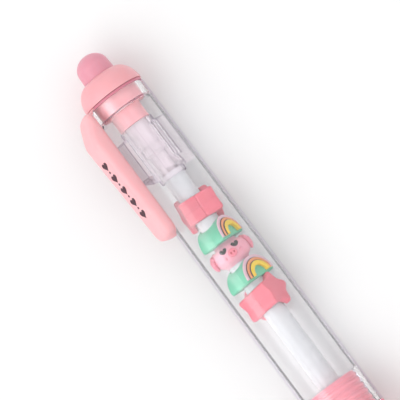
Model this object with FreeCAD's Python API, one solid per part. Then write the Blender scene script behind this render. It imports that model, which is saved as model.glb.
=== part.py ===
import FreeCAD, Part
import math
import os

# Retractable gel pen with charm beads on its inner tube. Millimetres.
# The pen's axis is X: the push button is at the low end and the writing tip at the high end.
# Stations along the pen are given from the top of the button and moved by ORIGIN, so that
# x = 0 lies on the barrel's parallel stretch. The clip leans out on the -Y side, above level.

# ---- driving dimensions -------------------------------------------------------------------------
ORIGIN = 68.0                # station of the row's origin
PEN_LENGTH = 148.0           # button top to nose opening
STROKE = 4.0                 # full travel of the push button
CLIP_ANGLE = 60.0            # clip, degrees about the axis from straight up towards -Y
RUNNING_GAP = 0.08           # radial clearance of a running fit
SEAT_GAP = 0.03              # clearance between seated pieces of one body

BUTTON_TOP_DEPTH = 2.9       # depth of the button's dome
BUTTON_RADIUS = 3.35
BUTTON_BASE_RADIUS = 3.45
BUTTON_FLANGE_RADIUS = 4.0
BUTTON_SHOULDER = 7.6
BUTTON_STEM_RADIUS = 1.3
BUTTON_STEM_END = 9.2

CAP_START = 4.95             # rim around the button
CAP_END = 9.6
CAP_RADIUS = 6.45
CAP_NECK_RADIUS = 4.85
CAP_NECK_END = 13.1
CAP_TUBE_RADIUS = 3.3
CAP_TUBE_END = 16.7
CAP_WALL = 0.8

CLIP_RING_RADIUS = 6.2
CLIP_HALF_WIDTH = 2.75
CLIP_TOP = 9.85
CLIP_ELBOW = 15.3
CLIP_END = 39.0
CLIP_INNER = 7.3             # heights of the arm from the pen's axis
CLIP_TOP_HEIGHT = 8.7
CLIP_ELBOW_HEIGHT = 11.1
CLIP_TIP_HEIGHT = 10.15
CLIP_PLAN_ROUND = 2.4        # corners seen from above
CLIP_ROUND = 0.9             # edges of the outer face
CLIP_BUMP_RADIUS = 1.6
CLIP_PIVOT_STATION = 12.4
CLIP_PIVOT_RADIUS = 8.0
CLIP_KNUCKLE = 0.8
CLIP_POST_WIDTH = 2.0
BARREL_START = 10.2
BARREL_REAR_RADIUS = 6.42
BARREL_RADIUS = 6.65
BARREL_PARALLEL_START = 58.0
BARREL_END = 87.2
BARREL_WALL = 0.5
MOUTH_END = 12.6             # thick ring round the cap's neck
MOUTH_STEP_END = 13.3
THREAD_START = 79.4
THREAD_PITCH = 1.27
THREAD_RADIUS = 5.42
THREAD_DEPTH = 0.32
THREAD_RINGS = 6

SLEEVE_RADIUS = 3.6
SLEEVE_BORE = 3.0
SLEEVE_START = 16.8
SLEEVE_TEETH_START = 26.9
SLEEVE_TEETH_END = 28.2
SLEEVE_TEETH = 6
WING_COUNT = 3
WING_START = 18.5
WING_TIP_LOW = 26.6
WING_TIP_HIGH = 29.1
WING_WIDTH = 3.0

PLUNGER_RADIUS = 2.4
PLUNGER_END = 21.7
CAM_END = 24.0
CAM_RADIUS = 2.85
TUBE_START = 28.2            # inner tube that carries the charm beads
TUBE_END = 82.4
TUBE_RADIUS = 2.3
TUBE_BORE = 2.05
TUBE_COLLAR_RADIUS = 2.92
TUBE_COLLAR_END = 29.7

BEAD_HOLE = 2.42
BEAD_GAP = 0.1
BEAD_STACK_START = 33.5
STAR_TIP_RADIUS = 4.15       # before the tips are rounded
STAR_VALLEY_RADIUS = 2.58
STAR_DEPTH = 7.4
STAR_ARMS = 5
STAR_ROUND = 0.6
REAR_STAR_SHIFT = -0.25      # middle of the star's depth, from the axis
REAR_STAR_TURN = -80.0       # bead faces, degrees about the axis from straight up towards +Y
REAR_RAINBOW_TURN = 60.0
PIG_TURN = 4.0
FRONT_RAINBOW_TURN = 47.0
FRONT_STAR_TURN = 55.0
RAINBOW_HEIGHT = 4.5
RAINBOW_RADIUS = 4.2
RAINBOW_BACK = -2.75         # back and face of the rainbow's depth, from the axis
RAINBOW_FACE = 3.0
RAINBOW_ROUND = 0.4
BAND_LIFT = 0.45             # bands end this far above the rainbow's flat side
BANDS = (                    # colour, inner radius, outer radius, thickness
    ("lilac", 3.42, 4.08, 0.14),
    ("orange", 2.74, 3.32, 0.42),
    ("yellow", 1.72, 2.6, 0.66),
)
PIG_HEIGHT = 4.8
PIG_RADIUS = 3.85

REFILL_RADIUS = 1.75
REFILL_BORE = 1.35
INK_START = 62.0
FOLLOWER_LENGTH = 5.0
REFILL_END = 130.0
HOLDER_END = 137.5
HOLDER_RADIUS = 2.2
HOLDER_COLLAR_RADIUS = 3.0
HOLDER_COLLAR_START = 116.0
NIB_RADIUS = 1.15
BALL_RADIUS = 0.35
BALL_CENTRE = 146.6

GRIP_CORE_RADIUS = 5.1
GRIP_START = 87.25
GRIP_END = 123.6
GRIP_RADIUS = 6.6
GRIP_GROOVE_DEPTH = 0.4
GRIP_GROOVES = 16
NOSE_START = 123.7
NOSE_RADIUS = 6.2
NOSE_TIP_RADIUS = 1.75
NOSE_HOLE = 1.25
NOSE_THREAD_RADIUS = 4.2
NOSE_SHOULDER = 138.5        # step that the return spring stands on
FRONT_BORE = 3.4
SPRING_WIRE = 0.22
SPRING_RADIUS = 2.75
SPRING_TURNS = 9

os.makedirs("parts", exist_ok=True)
X_AXIS = FreeCAD.Vector(1, 0, 0)
Y_AXIS = FreeCAD.Vector(0, 1, 0)
HERE = FreeCAD.Vector(0, 0, 0)


# ---- helpers ------------------------------------------------------------------------------------
def save(name, shape):
    """Writes one node."""
    if not shape.isValid() or shape.Volume <= 0:
        raise ValueError(name + " is not a sound solid")
    shape.exportStep("parts/" + name + ".step")


def point(station, radius):
    """A point of a turned outline: station from the button's top, and distance from the axis."""
    return FreeCAD.Vector(station - ORIGIN, radius, 0)


def smooth_edge(points):
    """One smooth edge through (station, radius) points."""
    curve = Part.BSplineCurve()
    curve.interpolate([point(*p) for p in points])
    return curve.toShape()


def turned(outline):
    """Turns a closed outline about the axis. A list in the outline is a smooth run from the point before it."""
    edges = []
    last = outline[0]
    for item in outline[1:] + [outline[0]]:
        if isinstance(item, list):
            edges.append(smooth_edge([last] + item))
            last = item[-1]
        else:
            edges.append(Part.makeLine(point(*last), point(*item)))
            last = item
    face = Part.Face(Part.Wire(edges))
    return face.revolve(HERE, X_AXIS, 360)


def quarter_ellipse(start, end, steps=6):
    """Points after start along a quarter of an ellipse, flat across the axis at start and along it at end."""
    points = []
    for i in range(1, steps + 1):
        angle = math.pi / 2 * i / steps
        station = end[0] - (end[0] - start[0]) * math.cos(angle)
        radius = start[1] + (end[1] - start[1]) * math.sin(angle)
        points.append((station, radius))
    return points


def ring(start, end, outer, inner):
    """A plain ring on the axis."""
    return turned([(start, inner), (start, outer), (end, outer), (end, inner)])


def rod(start, end, radius):
    """A plain rod on the axis."""
    return Part.makeCylinder(radius, end - start, point(start, 0), X_AXIS)


def bead_frame(shape, station, turn):
    """Places a shape made with its face towards +Z: moves it along the pen and turns its face towards +Y."""
    shape.translate(FreeCAD.Vector(station - ORIGIN, 0, 0))
    shape.rotate(HERE, X_AXIS, -turn)
    return shape


def ellipsoid(centre, half):
    """An ellipsoid with its axes along X, Y and Z."""
    matrix = FreeCAD.Matrix()
    matrix.scale(*half)
    shape = Part.makeSphere(1.0).transformGeometry(matrix)
    shape.translate(FreeCAD.Vector(*centre))
    return shape


# ---- push button and its mechanism --------------------------------------------------------------
def push_button():
    base = CAP_START + 0.75
    flange = base + 1.0
    dome = quarter_ellipse((0, 0), (BUTTON_TOP_DEPTH, BUTTON_RADIUS))
    return turned([
        (0, 0), dome, (CAP_START, BUTTON_BASE_RADIUS), (base, BUTTON_BASE_RADIUS),
        (base, BUTTON_FLANGE_RADIUS), (flange, BUTTON_FLANGE_RADIUS), (flange, PLUNGER_RADIUS),
        (BUTTON_SHOULDER, PLUNGER_RADIUS), (BUTTON_SHOULDER, BUTTON_STEM_RADIUS),
        (BUTTON_STEM_END, BUTTON_STEM_RADIUS), (BUTTON_STEM_END, 0),
    ])


def plunger():
    """Push rod under the button, with a crown of short teeth that turns the cam."""
    rear = BUTTON_SHOULDER + 0.05
    socket = BUTTON_STEM_RADIUS + SEAT_GAP
    socket_end = BUTTON_STEM_END + 0.1
    body = turned([
        (rear, socket), (rear, PLUNGER_RADIUS), (PLUNGER_END, PLUNGER_RADIUS),
        (PLUNGER_END, 1.3), (socket_end, 1.3), (socket_end, socket),
    ])
    crown_start = PLUNGER_END - 1.0
    ribs = [
        Part.makeBox(1.0, 0.6, 0.55, FreeCAD.Vector(crown_start - ORIGIN, -0.3, PLUNGER_RADIUS - 0.15))
        for _ in range(SLEEVE_TEETH)
    ]
    for i, rib in enumerate(ribs):
        rib.rotate(HERE, X_AXIS, i * 360 / SLEEVE_TEETH)
    return body.multiFuse(ribs).removeSplitter()


def rotary_cam():
    """Indexing cam between the plunger and the refill, with slanted fins."""
    body = turned([
        (PLUNGER_END + 0.1, 0), (PLUNGER_END + 0.1, 2.3), (CAM_END - 0.6, 2.3),
        (CAM_END, 1.6), (CAM_END, 0),
    ])
    fins = []
    for i in range(WING_COUNT):
        start = PLUNGER_END + 0.1 - ORIGIN
        outline = [
            FreeCAD.Vector(start, -0.45, 2.1), FreeCAD.Vector(start + 0.5, 0.45, 2.1),
            FreeCAD.Vector(start + 1.5, 0.45, 2.1), FreeCAD.Vector(start + 1.5, -0.45, 2.1),
        ]
        fin = Part.Face(Part.makePolygon(outline + outline[:1])).extrude(FreeCAD.Vector(0, 0, CAM_RADIUS - 2.1))
        fin.rotate(HERE, X_AXIS, i * 360 / WING_COUNT)
        fins.append(fin)
    return body.multiFuse(fins).removeSplitter()


def cam_sleeve():
    """Clear sleeve with a saw-toothed edge, held in the barrel by three wings."""
    body = ring(SLEEVE_START, SLEEVE_TEETH_START - 1.5, SLEEVE_RADIUS, SLEEVE_BORE)
    parts = []
    step = 360 / SLEEVE_TEETH
    half_chord = SLEEVE_RADIUS * math.sin(math.radians(step / 2)) + 0.2
    for i in range(SLEEVE_TEETH):
        sector = ring_sector(SLEEVE_TEETH_START - 1.5, SLEEVE_TEETH_END + 0.1, SLEEVE_RADIUS, SLEEVE_BORE, step)
        sector = sector.cut(slanted_cutter(half_chord, SLEEVE_TEETH_START, SLEEVE_TEETH_END, SLEEVE_RADIUS + 1))
        sector.rotate(HERE, X_AXIS, i * step)
        parts.append(sector)
    barrel_bore = BARREL_REAR_RADIUS - BARREL_WALL - SEAT_GAP
    for i in range(WING_COUNT):
        wing_angle = math.degrees(WING_WIDTH / barrel_bore)
        wing = ring_sector(WING_START, WING_TIP_HIGH + 0.1, barrel_bore, SLEEVE_RADIUS - 0.1, wing_angle)
        wing = wing.cut(slanted_cutter(WING_WIDTH / 2, WING_TIP_LOW, WING_TIP_HIGH, barrel_bore + 1))
        wing.rotate(HERE, X_AXIS, CLIP_ANGLE + i * 360 / WING_COUNT)
        parts.append(wing)
    return body.multiFuse(parts).removeSplitter()


def ring_sector(start, end, outer, inner, angle):
    """A stretch of ring spanning angle degrees, centred on +Z."""
    face = Part.Face(Part.makePolygon([
        FreeCAD.Vector(start - ORIGIN, 0, inner), FreeCAD.Vector(start - ORIGIN, 0, outer),
        FreeCAD.Vector(end - ORIGIN, 0, outer), FreeCAD.Vector(end - ORIGIN, 0, inner),
        FreeCAD.Vector(start - ORIGIN, 0, inner),
    ]))
    sector = face.revolve(HERE, X_AXIS, angle)
    sector.rotate(HERE, X_AXIS, -angle / 2)
    return sector


def slanted_cutter(half_width, low, high, reach):
    """Takes away what lies beyond a line that slants from low at -Y to high at +Y."""
    beyond = high + 3 - ORIGIN
    outline = [
        FreeCAD.Vector(low - ORIGIN, -half_width - 0.3, 0), FreeCAD.Vector(high - ORIGIN, half_width + 0.3, 0),
        FreeCAD.Vector(beyond, half_width + 0.3, 0), FreeCAD.Vector(beyond, -half_width - 0.3, 0),
    ]
    return Part.Face(Part.makePolygon(outline + outline[:1])).extrude(FreeCAD.Vector(0, 0, reach))


# ---- shells -------------------------------------------------------------------------------------
def end_cap():
    """Domed cap with the button's bore, a neck that seats in the barrel and a guide tube for the plunger."""
    bore = BUTTON_BASE_RADIUS + RUNNING_GAP
    lip_end = CAP_START + 0.7
    chamber = BUTTON_FLANGE_RADIUS + RUNNING_GAP
    dome = quarter_ellipse((CAP_START, 3.2), (CAP_END, CAP_RADIUS))
    dome_start = (CAP_START + 0.02, bore)
    kept = [p for p in dome if p[1] > bore + 0.4]
    return turned([
        dome_start, kept, (CAP_END, CAP_NECK_RADIUS), (CAP_NECK_END, CAP_NECK_RADIUS),
        (CAP_NECK_END, CAP_TUBE_RADIUS), (CAP_TUBE_END, CAP_TUBE_RADIUS),
        (CAP_TUBE_END, PLUNGER_RADIUS + RUNNING_GAP), (CAP_NECK_END - 1.0, PLUNGER_RADIUS + RUNNING_GAP),
        (CAP_NECK_END - 1.0, chamber), (lip_end, chamber), (lip_end, bore),
    ])


def barrel():
    """Clear barrel: a thick mouth, a thin wall and a thick threaded end."""
    inner_rear = BARREL_REAR_RADIUS - BARREL_WALL
    inner = BARREL_RADIUS - BARREL_WALL
    return turned([
        (BARREL_START, CAP_NECK_RADIUS + SEAT_GAP), (BARREL_START, BARREL_REAR_RADIUS - 0.15),
        (BARREL_START + 0.15, BARREL_REAR_RADIUS), (BARREL_PARALLEL_START, BARREL_RADIUS),
        (BARREL_END, BARREL_RADIUS), (BARREL_END, THREAD_RADIUS + RUNNING_GAP),
        (THREAD_START, THREAD_RADIUS + RUNNING_GAP), (THREAD_START - 0.4, inner),
        (BARREL_PARALLEL_START, inner), (MOUTH_STEP_END, inner_rear), (MOUTH_STEP_END, 5.5),
        (MOUTH_END, 5.5), (MOUTH_END, CAP_NECK_RADIUS + SEAT_GAP),
    ])


def front_section():
    """Core of the grip: a threaded spigot in the barrel, a seat for the bead tube and a stub for the nose."""
    outline = [(THREAD_START + 0.1, TUBE_RADIUS + 0.06), (THREAD_START + 0.1, THREAD_RADIUS - THREAD_DEPTH)]
    for i in range(THREAD_RINGS):
        start = THREAD_START + 0.25 + i * THREAD_PITCH
        outline += [
            (start, THREAD_RADIUS - THREAD_DEPTH), (start + 0.2, THREAD_RADIUS),
            (start + 0.95, THREAD_RADIUS), (start + 1.15, THREAD_RADIUS - THREAD_DEPTH),
        ]
    stub = NOSE_THREAD_RADIUS
    outline += [
        (BARREL_END + 0.05, THREAD_RADIUS - THREAD_DEPTH), (BARREL_END + 0.05, GRIP_CORE_RADIUS + 0.6),
        (BARREL_END + 1.2, GRIP_CORE_RADIUS + 0.6), (BARREL_END + 1.2, GRIP_CORE_RADIUS),
        (GRIP_END + 0.05, GRIP_CORE_RADIUS), (GRIP_END + 0.05, stub), (GRIP_END + 6, stub),
        (GRIP_END + 6, FRONT_BORE), (TUBE_END + 1, FRONT_BORE), (TUBE_END + 1, REFILL_RADIUS + 0.25),
        (TUBE_END + 0.1, REFILL_RADIUS + 0.25), (TUBE_END + 0.1, TUBE_RADIUS + 0.06),
    ]
    return turned(outline)


def grip_sleeve():
    """Soft ribbed sleeve over the core."""
    inner = GRIP_CORE_RADIUS + SEAT_GAP
    rear_inner = inner + 0.6
    pitch = (GRIP_END - GRIP_START - 4.0) / GRIP_GROOVES
    outline = [(GRIP_START, rear_inner), (GRIP_START, GRIP_RADIUS - 0.1), (GRIP_START + 0.1, GRIP_RADIUS)]
    for i in range(GRIP_GROOVES):
        start = GRIP_START + 2.0 + i * pitch
        outline += [
            (start, GRIP_RADIUS), (start + 0.25, GRIP_RADIUS - GRIP_GROOVE_DEPTH),
            (start + 0.75, GRIP_RADIUS - GRIP_GROOVE_DEPTH), (start + 1.0, GRIP_RADIUS),
        ]
    outline += [
        (GRIP_END - 0.3, GRIP_RADIUS), (GRIP_END, GRIP_RADIUS - 0.3), (GRIP_END, inner),
        (BARREL_END + 1.25, inner), (BARREL_END + 1.25, rear_inner),
    ]
    return turned(outline)


def nose_cone():
    """Tapered nose with the shoulder that the return spring stands on."""
    tip = PEN_LENGTH
    stub_end = GRIP_END + 6.1
    taper = [(129.0, 5.7), (135.0, 4.5), (141.0, 3.0), (tip - 1.2, NOSE_TIP_RADIUS + 0.15)]
    return turned([
        (NOSE_START, NOSE_THREAD_RADIUS + SEAT_GAP), (NOSE_START, NOSE_RADIUS), taper,
        (tip, NOSE_TIP_RADIUS - 0.1), (tip, NOSE_HOLE), (tip - 3.5, NOSE_HOLE),
        (NOSE_SHOULDER + 2.1, HOLDER_RADIUS + 0.1), (NOSE_SHOULDER, HOLDER_RADIUS + 0.1),
        (NOSE_SHOULDER, SPRING_RADIUS + 0.3), (stub_end, FRONT_BORE), (stub_end, NOSE_THREAD_RADIUS + SEAT_GAP),
    ])


# ---- clip ---------------------------------------------------------------------------------------
def clip_frame(shape):
    """Turns a shape made over +Z round to the clip's side."""
    shape.rotate(HERE, X_AXIS, CLIP_ANGLE)
    return shape


def across(start, height, width):
    """Start of a rod or box laid across the clip: station, distance from the axis, and width."""
    return FreeCAD.Vector(start - ORIGIN, -width / 2, height)


def clip_ring():
    """Ring held between cap and barrel, with the post that the clip's arm grows from."""
    washer = ring(CAP_END + 0.05, BARREL_START - 0.05, CLIP_RING_RADIUS, CAP_NECK_RADIUS + SEAT_GAP)
    start = CAP_END + 0.15
    foot = CLIP_RING_RADIUS - 0.6
    post_top = CLIP_PIVOT_RADIUS - 0.25
    width = CLIP_POST_WIDTH
    lug = Part.makeBox(0.35, width, post_top - foot, across(start, foot, width))
    beam = Part.makeBox(CLIP_PIVOT_STATION - start, width, 0.6, across(start, post_top - 0.6, width))
    pivot = across(CLIP_PIVOT_STATION, CLIP_PIVOT_RADIUS, width)
    knuckle = Part.makeCylinder(CLIP_KNUCKLE, width, pivot, Y_AXIS)
    return washer.fuse(clip_frame(lug.multiFuse([beam, knuckle]))).removeSplitter()


def clip_arm():
    """Chunky rounded arm with a hidden pocket round the post's knuckle and a bump that grips cloth."""
    side = [
        (CLIP_TOP, CLIP_INNER), (CLIP_TOP, CLIP_TOP_HEIGHT), (CLIP_ELBOW, CLIP_ELBOW_HEIGHT),
        (CLIP_END - 1.2, CLIP_TIP_HEIGHT), (CLIP_END, CLIP_TIP_HEIGHT - 1.25),
        (CLIP_END, CLIP_INNER + 0.6), (CLIP_END - 0.8, CLIP_INNER),
    ]
    width = 2 * CLIP_HALF_WIDTH
    corners = [across(station, height, width) for station, height in side]
    slab = Part.Face(Part.makePolygon(corners + corners[:1])).extrude(FreeCAD.Vector(0, width, 0))
    plan_height = 8.0
    plan = Part.makeBox(CLIP_END - CLIP_TOP, width, plan_height, across(CLIP_TOP, CLIP_INNER - 1, width))
    uprights = [e for e in plan.Edges if abs(e.Length - plan_height) < 1e-6]
    arm = slab.common(plan.makeFillet(CLIP_PLAN_ROUND, uprights))
    outer_edges = [
        e for e in arm.Edges
        if e.BoundBox.ZMin > CLIP_INNER + 1.5 and e.BoundBox.ZLength < 3.5
        and e.BoundBox.YLength < 0.01 and e.BoundBox.XLength > 4
    ]
    arm = arm.makeFillet(CLIP_ROUND, outer_edges)
    bump_width = 3.0
    bump_axis = across(CLIP_END - 4.5, CLIP_INNER + 0.95, bump_width)
    bump = Part.makeCylinder(CLIP_BUMP_RADIUS, bump_width, bump_axis, Y_AXIS)
    pocket_width = CLIP_POST_WIDTH + 0.2
    pocket_depth = CLIP_PIVOT_RADIUS + 0.15 - CLIP_INNER
    pocket_length = CLIP_PIVOT_STATION - CLIP_TOP + 2.2
    pocket_start = across(CLIP_TOP - 1, CLIP_INNER - 0.2, pocket_width)
    pocket = Part.makeBox(pocket_length, pocket_width, pocket_depth + 0.2, pocket_start)
    pivot = across(CLIP_PIVOT_STATION, CLIP_PIVOT_RADIUS, pocket_width)
    bore = Part.makeCylinder(CLIP_KNUCKLE + 0.06, pocket_width, pivot, Y_AXIS)
    return clip_frame(arm.fuse(bump).cut(pocket).cut(bore).removeSplitter())


# ---- bead tube and charm beads ------------------------------------------------------------------
def guide_tube():
    return turned([
        (TUBE_START, TUBE_BORE), (TUBE_START, TUBE_COLLAR_RADIUS), (TUBE_COLLAR_END, TUBE_COLLAR_RADIUS),
        (TUBE_COLLAR_END, TUBE_RADIUS), (TUBE_END, TUBE_RADIUS), (TUBE_END, TUBE_BORE),
    ])


def star_bead(station, turn, arm_side, shift):
    """Thick five-armed star, its single arm along Y on the given side, with the tube's hole through its plane."""
    back = shift - STAR_DEPTH / 2
    corners = []
    for i in range(2 * STAR_ARMS):
        radius = STAR_VALLEY_RADIUS if i % 2 else STAR_TIP_RADIUS
        angle = math.pi * i / STAR_ARMS
        corners.append(FreeCAD.Vector(radius * math.sin(angle), arm_side * radius * math.cos(angle), back))
    star = Part.Face(Part.makePolygon(corners + corners[:1])).extrude(FreeCAD.Vector(0, 0, STAR_DEPTH))
    middle = (STAR_TIP_RADIUS + STAR_VALLEY_RADIUS) / 2
    tips = [
        e for e in star.Edges
        if e.BoundBox.ZLength > STAR_DEPTH - 0.1 and math.hypot(e.CenterOfMass.x, e.CenterOfMass.y) > middle
    ]
    return bead_frame(star.makeFillet(STAR_ROUND, tips).cut(bead_hole()), station, turn)


def bead_hole():
    """Hole for the tube, made round the axis with the bead's middle at x = 0."""
    return Part.makeCylinder(BEAD_HOLE, 20, FreeCAD.Vector(-10, 0, 0), X_AXIS)


def rainbow_bead(station, turn):
    """Arch standing on its flat side, with the tube's hole through its height."""
    half = RAINBOW_RADIUS
    flat = RAINBOW_HEIGHT / 2
    spring = flat - (RAINBOW_HEIGHT - RAINBOW_RADIUS)
    foot_left = FreeCAD.Vector(flat, -half, RAINBOW_BACK)
    spring_left = FreeCAD.Vector(spring, -half, RAINBOW_BACK)
    crown = FreeCAD.Vector(-flat, 0, RAINBOW_BACK)
    spring_right = FreeCAD.Vector(spring, half, RAINBOW_BACK)
    foot_right = FreeCAD.Vector(flat, half, RAINBOW_BACK)
    wire = Part.Wire([
        Part.makeLine(foot_left, spring_left), Part.Arc(spring_left, crown, spring_right).toShape(),
        Part.makeLine(spring_right, foot_right), Part.makeLine(foot_right, foot_left),
    ])
    depth = RAINBOW_FACE - RAINBOW_BACK
    arch = Part.Face(wire).extrude(FreeCAD.Vector(0, 0, depth))
    feet = [e for e in arch.Edges if e.BoundBox.ZLength > depth - 0.1 and e.BoundBox.XMin > flat - 0.01]
    return bead_frame(arch.makeFillet(RAINBOW_ROUND, feet).cut(bead_hole()), station, turn)


def rainbow_band(station, turn, inner, outer, thickness):
    """One raised half ring on the rainbow's face."""
    foot = RAINBOW_HEIGHT / 2 - BAND_LIFT
    base = FreeCAD.Vector(foot, 0, RAINBOW_FACE)
    disc = Part.makeCylinder(outer, thickness, base).cut(Part.makeCylinder(inner, thickness, base))
    keep = Part.makeBox(10, 20, 2, FreeCAD.Vector(foot - 10, -10, RAINBOW_FACE - 0.5))
    return bead_frame(disc.common(keep), station, turn)


def pig_head(station):
    """Rounded head, a squashed ball about the pen's axis."""
    half = PIG_HEIGHT / 2
    start = station - half
    end = station + half
    shoulder = BEAD_HOLE + 0.25
    rear = [(station - half * 0.8, 3.3), (station - half * 0.35, 3.78), (station, PIG_RADIUS)]
    front = [(station + half * 0.35, 3.78), (station + half * 0.8, 3.3), (end, shoulder)]
    return turned([(start, BEAD_HOLE), (start, shoulder), rear + front, (end, BEAD_HOLE)])


def pig_ears(station):
    ears = [ellipsoid((-0.35, side * 4.0, 0.4), (1.5, 0.75, 1.1)) for side in (-1, 1)]
    head = rod(station - 5, station + 5, PIG_RADIUS - 0.25)
    placed = [bead_frame(ear, station, PIG_TURN).cut(head) for ear in ears]
    return Part.makeCompound(placed)


def pig_eyes(station):
    eyes = [ellipsoid((-0.75, side * 1.33, 3.55), (0.42, 0.72, 0.4)) for side in (-1, 1)]
    return Part.makeCompound([bead_frame(eye, station, PIG_TURN) for eye in eyes])


def pig_snout(station):
    snout = Part.makeCylinder(0.86, 1.2, FreeCAD.Vector(0.35, 0, 3.4))
    rim = [e for e in snout.Edges if e.BoundBox.ZMin > 4.5]
    snout = snout.makeFillet(0.3, rim)
    for side in (-1, 1):
        snout = snout.cut(Part.makeCylinder(0.13, 0.5, FreeCAD.Vector(0.35, side * 0.32, 4.3)))
    return bead_frame(snout, station, PIG_TURN)


def pig_cheeks(station):
    cheeks = [ellipsoid((0.55, side * 1.75, 3.35), (0.45, 0.45, 0.3)) for side in (-1, 1)]
    return Part.makeCompound([bead_frame(cheek, station, PIG_TURN) for cheek in cheeks])


# ---- refill and return spring -------------------------------------------------------------------
def refill_plug():
    return turned([
        (CAM_END + 0.02, 0), (CAM_END + 0.02, REFILL_RADIUS), (CAM_END + 1.5, REFILL_RADIUS),
        (CAM_END + 1.5, REFILL_BORE - 0.02), (CAM_END + 4, REFILL_BORE - 0.02), (CAM_END + 4, 0),
    ])


def tip_holder():
    """Plastic holder on the refill's front, with the collar that the return spring pushes."""
    return turned([
        (REFILL_END - 4, 0.45), (REFILL_END - 4, REFILL_BORE - 0.02), (REFILL_END + 0.02, REFILL_BORE - 0.02),
        (REFILL_END + 0.02, HOLDER_RADIUS), (HOLDER_END - 1.2, HOLDER_RADIUS - 0.25), (HOLDER_END, 1.6),
        (HOLDER_END, 0.8), (HOLDER_END - 3, 0.8), (HOLDER_END - 3, 0.45),
    ])


def spring_collar():
    """Raised ring crimped on the refill tube."""
    start = HOLDER_COLLAR_START
    return turned([
        (start, REFILL_RADIUS + 0.01), (start + 0.3, HOLDER_COLLAR_RADIUS), (start + 1.2, HOLDER_COLLAR_RADIUS),
        (start + 1.2, REFILL_RADIUS + 0.01),
    ])


def nib():
    """Metal point with the ball's socket."""
    start = HOLDER_END - 2.9
    socket = BALL_RADIUS + 0.015
    body = turned([
        (start, 0.3), (start, 0.78), (HOLDER_END + 0.02, 0.78), (HOLDER_END + 0.02, NIB_RADIUS),
        (142.6, NIB_RADIUS), (145.2, 0.62), (146.0, 0.56), (BALL_CENTRE + 0.12, 0.4),
        (BALL_CENTRE + 0.12, 0.2), (BALL_CENTRE - 0.6, 0.2), (BALL_CENTRE - 0.6, 0.3),
    ])
    return body.cut(Part.makeSphere(socket, point(BALL_CENTRE, 0)))


def return_spring():
    """Compression spring from the refill's collar to the nose's shoulder."""
    start = HOLDER_COLLAR_START + 1.2 + SPRING_WIRE + 0.05
    end = NOSE_SHOULDER - SPRING_WIRE - 0.05
    pitch = (end - start) / SPRING_TURNS
    helix = Part.makeHelix(pitch, end - start, SPRING_RADIUS)
    section = Part.Wire([Part.makeCircle(SPRING_WIRE, FreeCAD.Vector(SPRING_RADIUS, 0, 0), Y_AXIS)])
    coil = Part.Wire(helix).makePipeShell([section], True, True)
    coil.rotate(HERE, Y_AXIS, 90)
    coil.translate(FreeCAD.Vector(start - ORIGIN, 0, 0))
    return coil


# ---- all nodes ----------------------------------------------------------------------------------
valley_x = STAR_VALLEY_RADIUS * math.cos(math.pi / STAR_ARMS)
valley_y = STAR_VALLEY_RADIUS * math.sin(math.pi / STAR_ARMS)
tip_centre = STAR_TIP_RADIUS - STAR_ROUND / math.sin(math.atan2(valley_y, STAR_TIP_RADIUS - valley_x))
star_height = 2 * (tip_centre * math.sin(2 * math.pi / STAR_ARMS) + STAR_ROUND)
rear_star = BEAD_STACK_START + star_height / 2
rear_rainbow = BEAD_STACK_START + star_height + BEAD_GAP + RAINBOW_HEIGHT / 2
pig = rear_rainbow + RAINBOW_HEIGHT / 2 + BEAD_GAP + PIG_HEIGHT / 2
front_rainbow = pig + PIG_HEIGHT / 2 + BEAD_GAP + RAINBOW_HEIGHT / 2
front_star = front_rainbow + RAINBOW_HEIGHT / 2 + BEAD_GAP + star_height / 2

save("push_button", push_button())
save("plunger", plunger())
save("rotary_cam", rotary_cam())
save("end_cap", end_cap())
save("clip_ring", clip_ring())
save("clip_arm", clip_arm())
save("barrel", barrel())
save("cam_sleeve", cam_sleeve())
save("guide_tube", guide_tube())
save("star_bead_rear", star_bead(rear_star, REAR_STAR_TURN, -1, REAR_STAR_SHIFT))
save("rainbow_bead_rear", rainbow_bead(rear_rainbow, REAR_RAINBOW_TURN))
save("pig_head", pig_head(pig))
save("pig_ears", pig_ears(pig))
save("pig_eyes", pig_eyes(pig))
save("pig_snout", pig_snout(pig))
save("pig_cheeks", pig_cheeks(pig))
save("rainbow_bead_front", rainbow_bead(front_rainbow, FRONT_RAINBOW_TURN))
save("star_bead_front", star_bead(front_star, FRONT_STAR_TURN, 1, 0))
for colour, inner, outer, thickness in BANDS:
    save(colour + "_band_rear", rainbow_band(rear_rainbow, REAR_RAINBOW_TURN, inner, outer, thickness))
    save(colour + "_band_front", rainbow_band(front_rainbow, FRONT_RAINBOW_TURN, inner, outer, thickness))
save("front_section", front_section())
save("grip_sleeve", grip_sleeve())
save("nose_cone", nose_cone())
save("return_spring", return_spring())
save("refill_tube", ring(CAM_END + 1.55, REFILL_END, REFILL_RADIUS, REFILL_BORE))
save("refill_plug", refill_plug())
save("gel_ink", rod(INK_START, REFILL_END - 4.02, REFILL_BORE - 0.02))
save("ink_follower", rod(INK_START - FOLLOWER_LENGTH, INK_START - 0.02, REFILL_BORE - 0.02))
save("spring_collar", spring_collar())
save("tip_holder", tip_holder())
save("nib", nib())
save("writing_ball", Part.makeSphere(BALL_RADIUS, point(BALL_CENTRE, 0)))
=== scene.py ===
import math

import bmesh
import bpy
from mathutils import Matrix, Vector


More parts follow.
